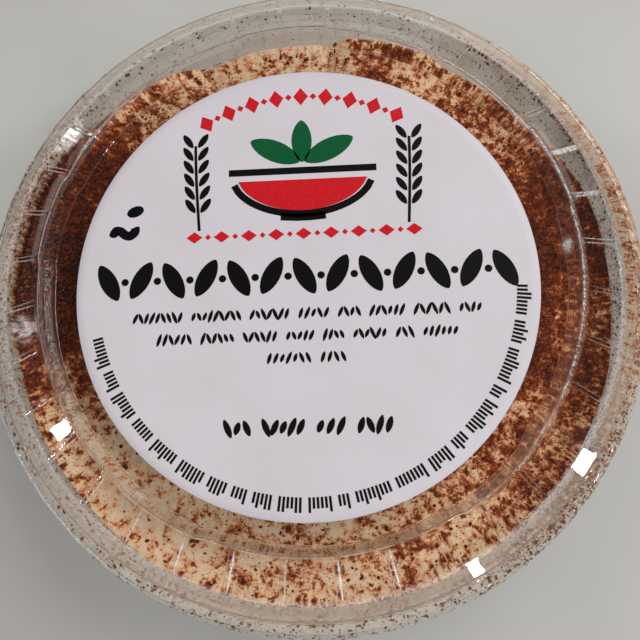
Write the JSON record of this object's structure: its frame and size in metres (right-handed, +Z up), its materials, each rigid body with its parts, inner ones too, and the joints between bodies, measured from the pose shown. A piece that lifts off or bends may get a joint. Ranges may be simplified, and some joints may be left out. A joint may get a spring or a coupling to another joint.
{
  "type": "rice pudding tub",
  "caption": "Shut clear round deli tub of rice pudding dusted with cinnamon, with a ribbed press-on lid and a round paper label.",
  "frame": {"origin": "centre of the tub's flat underside, on the surface that it stands on", "axes": "+Z up along the tub's axis, +Y towards the top of the label, +X towards the label's right"},
  "size_m": [0.1142, 0.1142, 0.0336],
  "materials": {
    "clear_tub": "clear thermoformed PET sheet, glossy, faintly grey",
    "clear_lid": "clear thermoformed PET sheet, glossy, with bright lines along its ribs and edges",
    "label_paper": null,
    "pudding": "cream-coloured set milk pudding dusted with brown ground cinnamon, moist"
  },
  "bodies": {
    "root": {"container": "clear_tub", "lid": "clear_lid", "label": "label_paper", "pudding": "pudding"}
  },
  "joints": []
}
